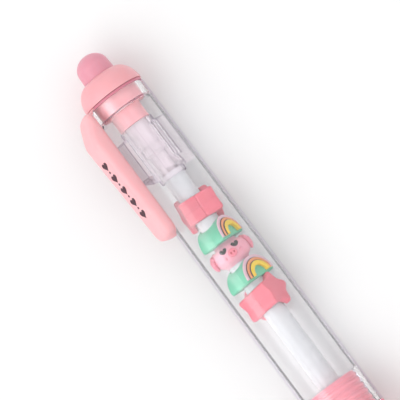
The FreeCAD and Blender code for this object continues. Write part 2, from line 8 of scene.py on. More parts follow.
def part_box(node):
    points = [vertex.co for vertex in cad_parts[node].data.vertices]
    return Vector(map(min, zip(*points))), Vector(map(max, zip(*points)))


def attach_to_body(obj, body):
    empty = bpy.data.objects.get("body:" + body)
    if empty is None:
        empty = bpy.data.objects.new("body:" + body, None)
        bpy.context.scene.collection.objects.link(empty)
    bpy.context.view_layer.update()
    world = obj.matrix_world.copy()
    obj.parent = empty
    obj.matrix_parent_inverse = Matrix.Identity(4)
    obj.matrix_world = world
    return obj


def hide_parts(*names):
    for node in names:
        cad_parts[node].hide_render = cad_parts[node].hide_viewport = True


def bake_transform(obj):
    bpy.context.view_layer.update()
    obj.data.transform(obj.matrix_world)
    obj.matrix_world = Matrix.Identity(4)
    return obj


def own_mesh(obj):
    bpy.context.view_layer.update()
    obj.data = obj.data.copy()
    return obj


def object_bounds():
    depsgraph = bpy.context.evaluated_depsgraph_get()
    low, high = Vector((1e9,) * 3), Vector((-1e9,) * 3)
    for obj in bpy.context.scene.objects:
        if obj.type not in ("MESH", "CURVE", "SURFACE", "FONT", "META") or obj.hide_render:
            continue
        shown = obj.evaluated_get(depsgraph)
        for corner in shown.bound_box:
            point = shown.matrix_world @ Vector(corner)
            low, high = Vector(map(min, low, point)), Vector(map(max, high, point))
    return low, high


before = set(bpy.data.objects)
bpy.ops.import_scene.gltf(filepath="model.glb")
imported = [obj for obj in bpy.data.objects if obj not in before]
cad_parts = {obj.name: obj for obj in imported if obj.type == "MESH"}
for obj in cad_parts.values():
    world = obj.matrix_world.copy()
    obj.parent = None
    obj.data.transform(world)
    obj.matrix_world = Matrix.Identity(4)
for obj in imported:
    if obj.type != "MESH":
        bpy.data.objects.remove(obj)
cad_low, cad_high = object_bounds()

# Lengths below are in millimetres. A station is measured along the pen from the top of the push button.
MM = 0.001
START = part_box("push_button")[0].x / MM
X_AXIS = Vector((1, 0, 0))
CLIP_ANGLE = math.radians(60)


# ---- measures read from the frame ---------------------------------------------------------------
def stations(node):
    """First and last station of a CAD node."""
    low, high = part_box(node)
    return low.x / MM - START, high.x / MM - START


def radius_of(node):
    """Largest distance of a turned CAD node from the axis."""
    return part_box(node)[1].y / MM


def middle(node):
    first, last = stations(node)
    return (first + last) / 2


# ---- colours ------------------------------------------------------------------------------------
def shade(red, green, blue):
    """Linear colour from display values of 0 to 255."""
    def linear(v):
        v = v / 255
        return v / 12.92 if v <= 0.04045 else ((v + 0.055) / 1.055) ** 2.4
    return (linear(red), linear(green), linear(blue), 1.0)


# ---- materials ----------------------------------------------------------------------------------
def new_material(name):
    material = bpy.data.materials.new(name)
    material.use_nodes = True
    tree = material.node_tree
    tree.nodes.clear()
    output = tree.nodes.new("ShaderNodeOutputMaterial")
    shader = tree.nodes.new("ShaderNodeBsdfPrincipled")
    tree.links.new(shader.outputs["BSDF"], output.inputs["Surface"])
    coordinates = tree.nodes.new("ShaderNodeTexCoord")
    return material, tree, shader, output, coordinates.outputs["Object"]


def add_noise(tree, coordinates, scale, detail=3.0, roughness=0.5):
    texture = tree.nodes.new("ShaderNodeTexNoise")
    texture.inputs["Scale"].default_value = scale
    texture.inputs["Detail"].default_value = detail
    texture.inputs["Roughness"].default_value = roughness
    tree.links.new(coordinates, texture.inputs["Vector"])
    return texture.outputs["Fac"]


def map_range(tree, value, low, high, start=0.3, end=0.7):
    node = tree.nodes.new("ShaderNodeMapRange")
    node.inputs["From Min"].default_value = start
    node.inputs["From Max"].default_value = end
    node.inputs["To Min"].default_value = low
    node.inputs["To Max"].default_value = high
    tree.links.new(value, node.inputs["Value"])
    return node.outputs["Result"]


def mix_colours(tree, factor, first, second):
    node = tree.nodes.new("ShaderNodeMix")
    node.data_type = "RGBA"
    node.inputs["A"].default_value = first
    node.inputs["B"].default_value = second
    tree.links.new(factor, node.inputs["Factor"])
    return node.outputs["Result"]


def mottle_colour(tree, shader, pattern, colour, deep):
    """Base colour that drifts between two shades with a pattern."""
    blend = mix_colours(tree, map_range(tree, pattern, 0.0, 1.0), colour, deep)
    tree.links.new(blend, shader.inputs["Base Color"])


def add_bump(tree, shader, height, strength, distance):
    node = tree.nodes.new("ShaderNodeBump")
    node.inputs["Strength"].default_value = strength
    node.inputs["Distance"].default_value = distance
    tree.links.new(height, node.inputs["Height"])
    tree.links.new(node.outputs["Normal"], shader.inputs["Normal"])


def moulded_plastic(name, colour, deep, roughness=0.32, grain=0.12, glow=0.25, coat=0.0):
    """Moulded plastic: faint flow marks in the colour, uneven polish and a fine satin grain."""
    material, tree, shader, _, coordinates = new_material(name)
    flow = add_noise(tree, coordinates, 160, 4.0, 0.6)
    mottle_colour(tree, shader, flow, colour, deep)
    polish = add_noise(tree, coordinates, 900, 3.0)
    tree.links.new(map_range(tree, polish, roughness - 0.05, roughness + 0.07), shader.inputs["Roughness"])
    add_bump(tree, shader, add_noise(tree, coordinates, 5200, 2.0), grain, 0.00002)
    shader.inputs["IOR"].default_value = 1.48
    shader.inputs["Subsurface Weight"].default_value = glow
    shader.inputs["Subsurface Radius"].default_value = (1.0, 0.45, 0.4)
    shader.inputs["Subsurface Scale"].default_value = 0.0012
    shader.inputs["Coat Weight"].default_value = coat
    shader.inputs["Coat Roughness"].default_value = 0.12
    return material


def soft_vinyl(name, colour, deep, roughness=0.42):
    """Soft vinyl of the charms: mottled colour and a slightly wavy skin."""
    material, tree, shader, _, coordinates = new_material(name)
    mottle = add_noise(tree, coordinates, 420, 5.0, 0.6)
    mottle_colour(tree, shader, mottle, colour, deep)
    polish = add_noise(tree, coordinates, 1500, 3.0)
    tree.links.new(map_range(tree, polish, roughness - 0.08, roughness + 0.1), shader.inputs["Roughness"])
    add_bump(tree, shader, add_noise(tree, coordinates, 2600, 4.0), 0.22, 0.00004)
    shader.inputs["IOR"].default_value = 1.5
    shader.inputs["Subsurface Weight"].default_value = 0.35
    shader.inputs["Subsurface Radius"].default_value = (1.0, 0.5, 0.45)
    shader.inputs["Subsurface Scale"].default_value = 0.0009
    return material


def clear_plastic(name, tint, painted_rim_colour, roughness, ior, clearness=1.0, sheen=0.0):
    """Clear moulded plastic whose rim is darkened by a painted shade where the surface turns away. A look,
    not physics: the index is low and shadow rays pass.
    """
    material, tree, shader, output, coordinates = new_material(name)
    shader.inputs["Transmission Weight"].default_value = clearness
    shader.inputs["IOR"].default_value = ior
    shader.inputs["Base Color"].default_value = tint
    shader.inputs["Coat Weight"].default_value = sheen
    shader.inputs["Roughness"].default_value = roughness
    smear = add_noise(tree, coordinates, 300, 4.0, 0.65)
    tree.links.new(map_range(tree, smear, 0.2, 0.28), shader.inputs["Coat Roughness"])
    path = tree.nodes.new("ShaderNodeLightPath")
    see_through = tree.nodes.new("ShaderNodeBsdfTransparent")
    see_through.inputs["Color"].default_value = (0.965, 0.965, 0.97, 1.0)
    mix = tree.nodes.new("ShaderNodeMixShader")
    # Painted shade: where the surface turns away, a grey see-through tint darkens the rim in place of dark
    # surroundings seen through the edge.
    facing = tree.nodes.new("ShaderNodeLayerWeight")
    facing.inputs["Blend"].default_value = 0.5
    painted_rim_shade = tree.nodes.new("ShaderNodeBsdfTransparent")
    painted_rim_shade.inputs["Color"].default_value = painted_rim_colour
    rim = tree.nodes.new("ShaderNodeMixShader")
    tree.links.new(map_range(tree, facing.outputs["Facing"], 0.0, 1.0, 0.58, 0.68), rim.inputs["Fac"])
    tree.links.new(shader.outputs["BSDF"], rim.inputs[1])
    tree.links.new(painted_rim_shade.outputs["BSDF"], rim.inputs[2])
    tree.links.new(path.outputs["Is Shadow Ray"], mix.inputs["Fac"])
    tree.links.new(rim.outputs["Shader"], mix.inputs[1])
    tree.links.new(see_through.outputs["BSDF"], mix.inputs[2])
    tree.links.new(mix.outputs["Shader"], output.inputs["Surface"])
    return material


def milky_plastic(name, colour, deep, roughness=0.3):
    """Natural polypropylene: milky and waxy, it hides what is behind it."""
    material, tree, shader, _, coordinates = new_material(name)
    cloud = add_noise(tree, coordinates, 260, 4.0, 0.6)
    mottle_colour(tree, shader, cloud, colour, deep)
    polish = add_noise(tree, coordinates, 1200, 3.0)
    tree.links.new(map_range(tree, polish, roughness - 0.06, roughness + 0.08), shader.inputs["Roughness"])
    add_bump(tree, shader, add_noise(tree, coordinates, 1800, 3.0), 0.12, 0.00003)
    shader.inputs["IOR"].default_value = 1.5
    shader.inputs["Subsurface Weight"].default_value = 0.5
    shader.inputs["Subsurface Radius"].default_value = (1.0, 0.95, 0.9)
    shader.inputs["Subsurface Scale"].default_value = 0.0015
    return material


def ribbed_rubber(name, colour, deep):
    """Soft grip rubber: matte, with a fine pebbled skin."""
    material, tree, shader, _, coordinates = new_material(name)
    cloud = add_noise(tree, coordinates, 300, 5.0, 0.6)
    mottle_colour(tree, shader, cloud, colour, deep)
    wear = add_noise(tree, coordinates, 650, 3.0)
    tree.links.new(map_range(tree, wear, 0.5, 0.68), shader.inputs["Roughness"])
    pebble = tree.nodes.new("ShaderNodeTexVoronoi")
    pebble.inputs["Scale"].default_value = 4200
    tree.links.new(coordinates, pebble.inputs["Vector"])
    add_bump(tree, shader, pebble.outputs["Distance"], 0.25, 0.00003)
    shader.inputs["Subsurface Weight"].default_value = 0.2
    shader.inputs["Subsurface Radius"].default_value = (1.0, 0.45, 0.4)
    shader.inputs["Subsurface Scale"].default_value = 0.001
    shader.inputs["Sheen Weight"].default_value = 0.15
    shader.inputs["Sheen Roughness"].default_value = 0.4
    return material


def drawn_metal(name, colour, deep, roughness=0.22):
    """Drawn or turned metal with fine lines round the axis."""
    material, tree, shader, _, coordinates = new_material(name)
    stretch = tree.nodes.new("ShaderNodeMapping")
    stretch.inputs["Scale"].default_value = (14.0, 1.0, 1.0)
    tree.links.new(coordinates, stretch.inputs["Vector"])
    lines = add_noise(tree, stretch.outputs["Vector"], 1400, 4.0, 0.6)
    mottle_colour(tree, shader, lines, colour, deep)
    tree.links.new(map_range(tree, lines, roughness - 0.06, roughness + 0.1), shader.inputs["Roughness"])
    add_bump(tree, shader, lines, 0.15, 0.00001)
    shader.inputs["Metallic"].default_value = 1.0
    return material


def wet_fluid(name, colour, deep, clearness=0.0):
    """Ink or follower grease inside the refill."""
    material, tree, shader, _, coordinates = new_material(name)
    swirl = add_noise(tree, coordinates, 900, 4.0, 0.6)
    mottle_colour(tree, shader, swirl, colour, deep)
    tree.links.new(map_range(tree, swirl, 0.04, 0.12), shader.inputs["Roughness"])
    shader.inputs["Transmission Weight"].default_value = clearness
    return material


MATERIALS = {
    "button": moulded_plastic("button_satin", shade(229, 158, 174), shade(224, 151, 167), 0.36, glow=0.3),
    "cap": moulded_plastic("cap_satin", shade(244, 176, 182), shade(240, 170, 176), 0.34, glow=0.3),
    "clip": moulded_plastic("clip_satin", shade(249, 186, 190), shade(246, 181, 186), 0.36, glow=0.3),
    # Clip ring painted darker than the clip: painted shade for the groove between cap and barrel.
    "ring": moulded_plastic("ring_painted_shade", shade(214, 134, 152), shade(206, 126, 144), 0.36, glow=0.3),
    # For each clear plastic the second colour is its painted rim shade.
    "clear": clear_plastic(
        "clear_styrene", (0.985, 0.985, 0.99, 1.0), (0.925, 0.91, 0.945, 1.0), 0.01, 1.3, 0.985, 0.55,
    ),
    "sleeve": clear_plastic(
        "clear_sleeve", (0.98, 0.93, 0.955, 1.0), (0.76, 0.71, 0.78, 1.0), 0.02, 1.12, 0.88,
    ),
    "tube": milky_plastic("milky_tube", shade(216, 217, 220), shade(210, 211, 215)),
    "mechanism": clear_plastic(
        "clear_mechanism", (0.92, 0.86, 0.89, 1.0), (0.84, 0.8, 0.86, 1.0), 0.1, 1.06, 0.5,
    ),
    "natural": milky_plastic("natural_plastic", shade(236, 234, 232), shade(226, 224, 222)),
    "coral": soft_vinyl("coral_vinyl", shade(230, 119, 135), shade(223, 108, 125)),
    "mint": soft_vinyl("mint_vinyl", shade(108, 196, 162), shade(94, 186, 150)),
    "lilac": soft_vinyl("lilac_paint", shade(230, 190, 202), shade(222, 180, 194), 0.36),
    "orange": soft_vinyl("orange_paint", shade(240, 152, 96), shade(234, 142, 86), 0.34),
    "yellow": soft_vinyl("yellow_paint", shade(244, 206, 30), shade(236, 196, 22), 0.34),
    # Dark brown of the rainbow lines: partly brown paint, partly painted shade in the steps between bands.
    "line": soft_vinyl("brown_line_and_shade", shade(74, 36, 28), shade(60, 28, 22), 0.5),
    "pig": soft_vinyl("pig_vinyl", shade(240, 170, 186), shade(236, 162, 180)),
    "ear": soft_vinyl("ear_vinyl", shade(232, 150, 166), shade(226, 140, 158)),
    "snout": soft_vinyl("snout_vinyl", shade(236, 138, 154), shade(230, 128, 146), 0.34),
    "nostril": soft_vinyl("nostril_paint", shade(186, 48, 72), shade(172, 42, 64), 0.4),
    "eye": soft_vinyl("eye_paint", shade(10, 6, 9), shade(5, 3, 5), 0.5),
    "print": soft_vinyl("plum_print", shade(74, 26, 44), shade(60, 20, 36), 0.45),
    "grip": moulded_plastic("grip_core", shade(248, 152, 166), shade(244, 144, 158), 0.34, glow=0.3),
    "rubber": ribbed_rubber("grip_rubber", shade(246, 152, 166), shade(240, 142, 158)),
    "nose": moulded_plastic("nose_satin", shade(232, 148, 166), shade(228, 142, 160), 0.3, 0.03, 0.3, 0.2),
    "steel": drawn_metal("spring_steel", (0.62, 0.62, 0.63, 1), (0.5, 0.5, 0.51, 1)),
    "nib": drawn_metal("nib_steel", (0.68, 0.67, 0.64, 1), (0.58, 0.57, 0.54, 1), 0.18),
    "carbide": drawn_metal("ball_carbide", (0.42, 0.42, 0.43, 1), (0.34, 0.34, 0.35, 1), 0.14),
    "ink": wet_fluid("gel_ink", (0.006, 0.006, 0.009, 1), (0.012, 0.012, 0.018, 1)),
    "follower": wet_fluid("follower_grease", shade(226, 218, 180), shade(214, 204, 160), 0.5),
}


# ---- mesh helpers -------------------------------------------------------------------------------
def finish_mesh(name, mesh, material, sharp=40):
    """Object from a bmesh in millimetres: welded, facing outwards, smooth but for sharp edges."""
    bmesh.ops.remove_doubles(mesh, verts=mesh.verts, dist=1e-5)
    bmesh.ops.recalc_face_normals(mesh, faces=mesh.faces)
    bmesh.ops.scale(mesh, vec=(MM, MM, MM), verts=mesh.verts)
    data = bpy.data.meshes.new(name)
    mesh.to_mesh(data)
    mesh.free()
    data.shade_smooth()
    data.set_sharp_from_angle(angle=math.radians(sharp))
    data.materials.append(MATERIALS[material])
    piece = bpy.data.objects.new(name, data)
    bpy.context.scene.collection.objects.link(piece)
    return piece


def attach(piece, body, slot, *nodes):
    """Rides on a CAD body and stands for CAD nodes. The slot is not used."""
    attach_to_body(piece, body)
    if nodes:
        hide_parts(*nodes)
    return piece


def softened(outline, default=0.12, steps=4):
    """Rounds the corners of a closed outline of (station, radius) or (station, radius, corner radius)."""
    points = [Vector(p[:2]) for p in outline]
    rounded = []
    for i, point in enumerate(points):
        corner = outline[i][2] if len(outline[i]) > 2 else default
        before = points[i - 1] - point
        after = points[(i + 1) % len(points)] - point
        turn = math.pi - before.angle(after)
        on_axis = abs(point.y) < 1e-6
        if corner <= 0 or turn < math.radians(12) or on_axis:
            rounded.append(point)
            continue
        cut = min(corner * math.tan(turn / 2), 0.45 * before.length, 0.45 * after.length)
        start = point + before.normalized() * cut
        end = point + after.normalized() * cut
        for k in range(steps + 1):
            t = k / steps
            rounded.append(start * (1 - t) ** 2 + point * 2 * t * (1 - t) + end * t ** 2)
    return rounded


def turned_mesh(outline, segments=128):
    """Closed shell from an outline turned about the axis."""
    mesh = bmesh.new()
    loops = []
    for k in range(segments):
        angle = 2 * math.pi * k / segments
        c = math.cos(angle)
        s = math.sin(angle)
        loops.append([mesh.verts.new((START + p[0], p[1] * s, p[1] * c)) for p in outline])
    count = len(outline)
    for k in range(segments):
        here = loops[k]
        there = loops[(k + 1) % segments]
        for i in range(count):
            j = (i + 1) % count
            if outline[i][1] < 1e-6 and outline[j][1] < 1e-6:
                continue
            mesh.faces.new((here[i], here[j], there[j], there[i]))
    bmesh.ops.remove_doubles(mesh, verts=mesh.verts, dist=1e-5)
    bmesh.ops.dissolve_degenerate(mesh, edges=mesh.edges, dist=1e-6)
    return mesh


def turned_piece(name, outline, material, segments=128, default=0.12, sharp=40):
    return finish_mesh(name, turned_mesh(softened(outline, default), segments), material, sharp)


def add_skin(mesh, rows):
    """Faces between neighbouring loops of vertices."""
    count = len(rows[0])
    for a, b in zip(rows, rows[1:]):
        for i in range(count):
            j = (i + 1) % count
            mesh.faces.new((a[i], a[j], b[j], b[i]))


def add_loft(mesh, sections):
    """Closed shell through loops of equal length, capped at both ends."""
    rows = [[mesh.verts.new(p) for p in section] for section in sections]
    add_skin(mesh, rows)
    mesh.faces.new(rows[0])
    mesh.faces.new(list(reversed(rows[-1])))


def loft_mesh(sections):
    mesh = bmesh.new()
    add_loft(mesh, sections)
    return mesh


def rounded_rectangle(half_x, half_y, corner, steps=5):
    """Points round a rectangle with round corners."""
    corner = min(corner, half_x, half_y)
    points = []
    for quarter in range(4):
        cx = (half_x - corner) * (1 if quarter in (0, 3) else -1)
        cy = (half_y - corner) * (1 if quarter in (0, 1) else -1)
        for k in range(steps + 1):
            angle = math.pi / 2 * (quarter + k / steps)
            points.append((cx + corner * math.cos(angle), cy + corner * math.sin(angle)))
    return points


def add_ellipsoid(mesh, centre, half, turn=0.0, segments=32):
    """Ball stretched to three half sizes, turned about its own Z by turn."""
    matrix = Matrix.Translation(centre) @ Matrix.Rotation(turn, 4, "Z") @ Matrix.Diagonal((*half, 1))
    bmesh.ops.create_uvsphere(mesh, u_segments=segments, v_segments=segments // 2, radius=1.0, matrix=matrix)


def moulded(mesh, voxel, smoothing, cutter=None):
    """Fuses overlapping closed shells into one skin, cuts a shape out and softens its edges."""
    data = bpy.data.meshes.new("blank")
    mesh.to_mesh(data)
    mesh.free()
    blank = bpy.data.objects.new("blank", data)
    bpy.context.scene.collection.objects.link(blank)
    tool = None
    if cutter is not None:
        tool_data = bpy.data.meshes.new("tool")
        cutter.to_mesh(tool_data)
        cutter.free()
        tool = bpy.data.objects.new("tool", tool_data)
        bpy.context.scene.collection.objects.link(tool)
        cut = blank.modifiers.new("cut", "BOOLEAN")
        cut.operation = "DIFFERENCE"
        cut.solver = "EXACT"
        cut.use_self = True
        cut.object = tool
    skin = blank.modifiers.new("skin", "REMESH")
    skin.mode = "VOXEL"
    skin.voxel_size = voxel
    soften = blank.modifiers.new("soften", "SMOOTH")
    soften.factor = 0.5
    soften.iterations = smoothing
    depsgraph = bpy.context.evaluated_depsgraph_get()
    result = bmesh.new()
    result.from_mesh(bpy.data.meshes.new_from_object(blank.evaluated_get(depsgraph)))
    bpy.data.objects.remove(blank)
    if tool is not None:
        bpy.data.objects.remove(tool)
    return result


def face_frame(station, turn, tilt=0.0):
    """Places a shape made round the axis with its face towards +Z.

    It goes to its station and faces turn degrees from +Z towards +Y. The tilt, in degrees, is how far it
    leans on the tube, seen from above.
    """
    lean = Matrix.Rotation(math.radians(tilt), 4, "Z")
    return Matrix.Translation((START + station, 0, 0)) @ lean @ Matrix.Rotation(-math.radians(turn), 4, "X")


def axis_rod(radius, length, segments=64):
    """Closed rod along the axis, centred on x = 0."""
    mesh = bmesh.new()
    bmesh.ops.create_cone(
        mesh, cap_ends=True, segments=segments, radius1=radius, radius2=radius, depth=length,
        matrix=Matrix.Rotation(math.pi / 2, 4, "Y"),
    )
    return mesh


# ---- push button and end cap --------------------------------------------------------------------
def quarter_curve(start, end, steps=18):
    """Points of a quarter ellipse, flat across the axis at start and along it at end."""
    length = end[0] - start[0]
    rise = end[1] - start[1]
    points = []
    for i in range(steps + 1):
        angle = math.pi / 2 * i / steps
        points.append((end[0] - length * math.cos(angle), start[1] + rise * math.sin(angle), 0))
    return points


CAP_START, CAP_TUBE_END = stations("end_cap")
BARREL_START, BARREL_END = stations("barrel")
BARREL_RADIUS = radius_of("barrel")
CAP_END = 9.6
CAP_RADIUS = radius_of("end_cap")
CAP_TUBE_RADIUS = 3.3
BUTTON_BORE = 3.53
BUTTON_RADIUS = 3.45
FLANGE_RADIUS = 4.0
FLANGE_BORE = 4.08
NECK_RADIUS = 4.85
NECK_END = 13.1
PLUNGER_BORE = 2.48


def build_button():
    """Domed cap of the button, the flange that stops it inside the end cap, and its stem."""
    base = CAP_START + 0.73
    stem = 2.4
    stem_end = 7.6
    pin = 1.3
    pin_end = 9.2
    outline = quarter_curve((0, 0), (2.9, BUTTON_RADIUS - 0.1)) + [
        (CAP_START, BUTTON_RADIUS, 0), (base, BUTTON_RADIUS, 0.05), (base, FLANGE_RADIUS),
        (base + 1, FLANGE_RADIUS), (base + 1, stem), (stem_end, stem), (stem_end, pin), (pin_end, pin),
        (pin_end, 0, 0),
    ]
    attach(turned_piece("button_shell", outline, "button"), "push_button", "button_plastic", "push_button")


def build_cap():
    """Domed end cap with its neck and the tube that guides the plunger."""
    curve = quarter_curve((CAP_START - 0.02, 3.2), (CAP_END, CAP_RADIUS), 24)
    dome = [p for p in curve if p[1] > BUTTON_BORE + 0.25]
    floor = NECK_END - 1
    stop = CAP_START + 0.7
    outline = [(CAP_START + 0.12, BUTTON_BORE, 0.1)] + dome + [
        (CAP_END, CAP_RADIUS - 0.25, 0.1), (CAP_END, NECK_RADIUS), (NECK_END, NECK_RADIUS, 0.2),
        (NECK_END, CAP_TUBE_RADIUS, 0.1), (CAP_TUBE_END, CAP_TUBE_RADIUS, 0.15), (CAP_TUBE_END, PLUNGER_BORE),
        (floor, PLUNGER_BORE), (floor, FLANGE_BORE), (stop, FLANGE_BORE), (stop, BUTTON_BORE),
    ]
    attach(turned_piece("cap_shell", outline, "cap", 160), "pen_body", "cap_plastic", "end_cap")


# ---- barrel and cam sleeve ----------------------------------------------------------------------
THREAD_START = 79.4
THREAD_PITCH = 1.27
THREAD_BORE = 5.5


def build_barrel():
    """Clear barrel: it widens from the cap to the beads, then runs parallel to the grip."""
    rear = 6.42
    wall = 0.5
    parallel = 58
    mouth = 13.0
    neck = NECK_RADIUS + 0.03
    outline = [
        (BARREL_START, neck, 0.1), (BARREL_START, rear, 0.3), (parallel, BARREL_RADIUS, 0),
        (BARREL_END, BARREL_RADIUS, 0.12), (BARREL_END, THREAD_BORE, 0.1),
    ]
    outline += [
        (THREAD_START, THREAD_BORE, 0.03), (THREAD_START - 0.06, BARREL_RADIUS - wall, 0.03),
        (parallel, BARREL_RADIUS - wall, 0), (mouth + 0.6, rear - wall, 0.3),
        (mouth, NECK_RADIUS + 0.5, 0.3), (mouth, neck, 0.05),
    ]
    attach(turned_piece("barrel_shell", outline, "clear", 256), "pen_body", "clear_plastic", "barrel")


SLEEVE_START = stations("cam_sleeve")[0]
SLEEVE_RADIUS = 3.6
TEETH = 6
TOOTH_STEP = 2 * math.pi / TEETH
TOOTH_OFFSET = math.radians(-6)
TOOTH_ROOT = 27.3
TOOTH_HEIGHT = 1.2
GROOVE_RADIUS = 3.22
LAND_RADIUS = 3.0
WINGS = 3
WING_RADIUS = 5.84
WING_START = 18.5
WING_END = 26.4
WING_SLOPE = 2.3
WING_WIDTH = math.radians(49)
WING_OFFSET = math.radians(31)


def ring_wall(mesh, angles, outer, inner, top, bottom):
    """Closed part of a ring between two radii, from a flat top to a bottom that slopes with the angle.

    angles run over its width, and bottom holds the station at the first angle and the slope across them.
    """
    sections = []
    for k, angle in enumerate(angles):
        c = math.cos(angle)
        s = math.sin(angle)
        foot = bottom[0] + bottom[1] * k / (len(angles) - 1)
        corners = [(top, outer), (foot, outer), (foot, inner), (top, inner)]
        sections.append([(START + x, r * s, r * c) for x, r in corners])
    add_loft(mesh, sections)


def spread_angles(first, width, steps):
    return [first + width * k / steps for k in range(steps + 1)]


def build_cam_sleeve():
    """Clear ring with a saw-toothed front edge and three wings that reach the barrel's wall."""
    mesh = bmesh.new()
    for tooth in range(TEETH):
        angles = spread_angles(TOOTH_OFFSET + tooth * TOOTH_STEP, TOOTH_STEP, 16)
        bore = LAND_RADIUS if tooth % 2 else GROOVE_RADIUS
        ring_wall(mesh, angles, SLEEVE_RADIUS, bore, SLEEVE_START, (TOOTH_ROOT, TOOTH_HEIGHT))
    for wing in range(WINGS):
        angles = spread_angles(WING_OFFSET + wing * 2 * math.pi / WINGS, WING_WIDTH, 12)
        ring_wall(mesh, angles, WING_RADIUS, SLEEVE_RADIUS + 0.02, WING_START, (WING_END, WING_SLOPE))
    piece = finish_mesh("cam_sleeve_clear", mesh, "sleeve", 25)
    attach(piece, "pen_body", "clear_plastic", "cam_sleeve")


def build_guide_tube():
    """Milky tube that carries the beads, with a clear collar behind them."""
    start, end = stations("guide_tube")
    outer = 2.3
    bore = 2.05
    outline = [(start, bore), (start, outer), (end, outer), (end, bore)]
    attach(turned_piece("bead_tube", outline, "tube", 96), "pen_body", "frosted_plastic", "guide_tube")
    first = start + 0.1
    last = start + 1.15
    inner = outer + 0.03
    rim = 2.92
    outline = [(first, inner), (first, rim, 0.15), (last, rim, 0.15), (last, inner)]
    attach(turned_piece("tube_collar", outline, "sleeve", 96), "pen_body", "clear_plastic")


# ---- clip ---------------------------------------------------------------------------------------
CLIP_TOP = 9.85
CLIP_END = 39.0
CLIP_INNER = 7.3
CLIP_HALF_WIDTH = 2.72
CLIP_PLAN_ROUND = 2.45
CLIP_END_ROUND = 1.1
CLIP_CORNER = 1.15
RADIAL = Vector((0, -math.sin(CLIP_ANGLE), math.cos(CLIP_ANGLE)))
ACROSS = Vector((0, math.cos(CLIP_ANGLE), math.sin(CLIP_ANGLE)))


def clip_point(station, across, height):
    return X_AXIS * (START + station) + ACROSS * across + RADIAL * height


def smooth_min(a, b, blend):
    h = max(blend - abs(a - b), 0) / blend
    return min(a, b) - h * h * blend / 4


def clip_outer(station):
    """Height of the arm's outer face: a ramp to the elbow, then a long gentle fall."""
    ramp = 8.7 + (station - CLIP_TOP) * 0.44
    fall = 11.08 - (station - 15.3) * 0.04
    return smooth_min(ramp, fall, 0.5)


def clip_section(station):
    """Rounded loop across the arm at one station."""
    from_end = min(station - CLIP_TOP, CLIP_END - station)
    near = max(CLIP_PLAN_ROUND - from_end, 0)
    half_width = CLIP_HALF_WIDTH - CLIP_PLAN_ROUND + math.sqrt(max(CLIP_PLAN_ROUND ** 2 - near ** 2, 0))
    closing = math.sqrt(max(1 - (max(CLIP_END_ROUND - from_end, 0) / CLIP_END_ROUND) ** 2, 0))
    low = CLIP_INNER
    high = low + (clip_outer(station) - low) * (0.2 + 0.8 * closing)
    centre = (low + high) / 2
    half_height = (high - low) / 2
    half_width = max(half_width * (0.4 + 0.6 * closing), 0.1)
    loop = rounded_rectangle(half_width, half_height, CLIP_CORNER, 7)
    return [clip_point(station, w, centre + h) for w, h in loop]


BUMP_STATION = 34.2
BUMP_HALF_LENGTH = 1.4
BUMP_TOP = 7.42
BUMP_DEPTH = 0.55
BUMP_PROFILE = ((1.5, 0.3), (1.4, 0.75), (1.15, 0.95), (0.8, 1.0))


def bump_section(across, fall):
    """Half oval along the pen, hanging under the arm. fall is its share of the full depth."""
    loop = []
    for k in range(13):
        angle = math.pi * k / 12
        station = BUMP_STATION + BUMP_HALF_LENGTH * math.cos(angle)
        loop.append(clip_point(station, across, BUMP_TOP - BUMP_DEPTH * fall * math.sin(angle)))
    return loop


def build_clip():
    """Arm that bends at its root, with a rounded bump under its free end."""
    steps = 90
    length = CLIP_END - CLIP_TOP
    spread = [CLIP_TOP + length * (1 - math.cos(math.pi * k / steps)) / 2 for k in range(steps + 1)]
    arm = finish_mesh("clip_arm_shell", loft_mesh([clip_section(s) for s in spread]), "clip", 50)
    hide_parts("clip_arm")
    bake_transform(arm)
    bump = loft_mesh(
        [bump_section(-across, fall) for across, fall in BUMP_PROFILE]
        + [bump_section(across, fall) for across, fall in reversed(BUMP_PROFILE)]
    )
    attach(finish_mesh("clip_bump", bump, "clip", 50), "clip_arm", "clip_plastic")


def build_clip_ring():
    """Ring between cap and barrel, and the root that rises from it into the arm."""
    start = 9.66
    end = 10.15
    bore = 4.88
    outer = 6.2
    outline = [(start, bore), (start, outer), (end, outer), (end, bore)]
    ring = turned_mesh(softened(outline, 0.06), 128)
    # The ring takes the darker ring colour, painted shade for the groove it sits in.
    attach(finish_mesh("clip_ring_shell", ring, "ring", 40), "pen_body", "clip_plastic", "clip_ring")
    sections = []
    for height, half in ((5.6, 1.5), (6.4, 1.45), (7.0, 1.5), (7.6, 1.7), (8.2, 1.8)):
        rise = max(height - 6.4, 0)
        back = 9.7 + rise * 0.4
        front = 10.12 + rise
        loop = rounded_rectangle(half, (front - back) / 2, 0.18, 3)
        sections.append([clip_point((back + front) / 2 + u, w, height) for w, u in loop])
    attach(finish_mesh("clip_root", loft_mesh(sections), "clip", 40), "pen_body", "clip_plastic")


def heart_outline(size, steps=40):
    """Points of a small heart, its tip along +x."""
    points = []
    for k in range(steps):
        t = 2 * math.pi * k / steps
        across = 16 * math.sin(t) ** 3
        along = -(13 * math.cos(t) - 5 * math.cos(2 * t) - 2 * math.cos(3 * t) - math.cos(4 * t))
        points.append((along * size / 32, across * size / 32))
    return points


def print_shape(mesh, station, outline):
    """Raises a thin printed shape on the middle of the clip's outer face."""
    add_loft(mesh, [
        [clip_point(station + u, w, clip_outer(station + u) + lift) for u, w in outline]
        for lift in (-0.05, 0.025)
    ])


def build_clip_print():
    """Plain row of hearts and dots where the real clip is printed."""
    hearts = 5
    first = 20.4
    pitch = 2.9
    dot_radius = 0.26
    angles = [math.pi * k / 8 for k in range(16)]
    dot = [(dot_radius * math.cos(a), dot_radius * math.sin(a)) for a in angles]
    mesh = bmesh.new()
    for i in range(hearts):
        station = first + i * pitch
        print_shape(mesh, station, heart_outline(2.0))
        if i < hearts - 1:
            print_shape(mesh, station + pitch / 2, dot)
    attach(finish_mesh("clip_print", mesh, "print", 40), "clip_arm", "dark_paint")


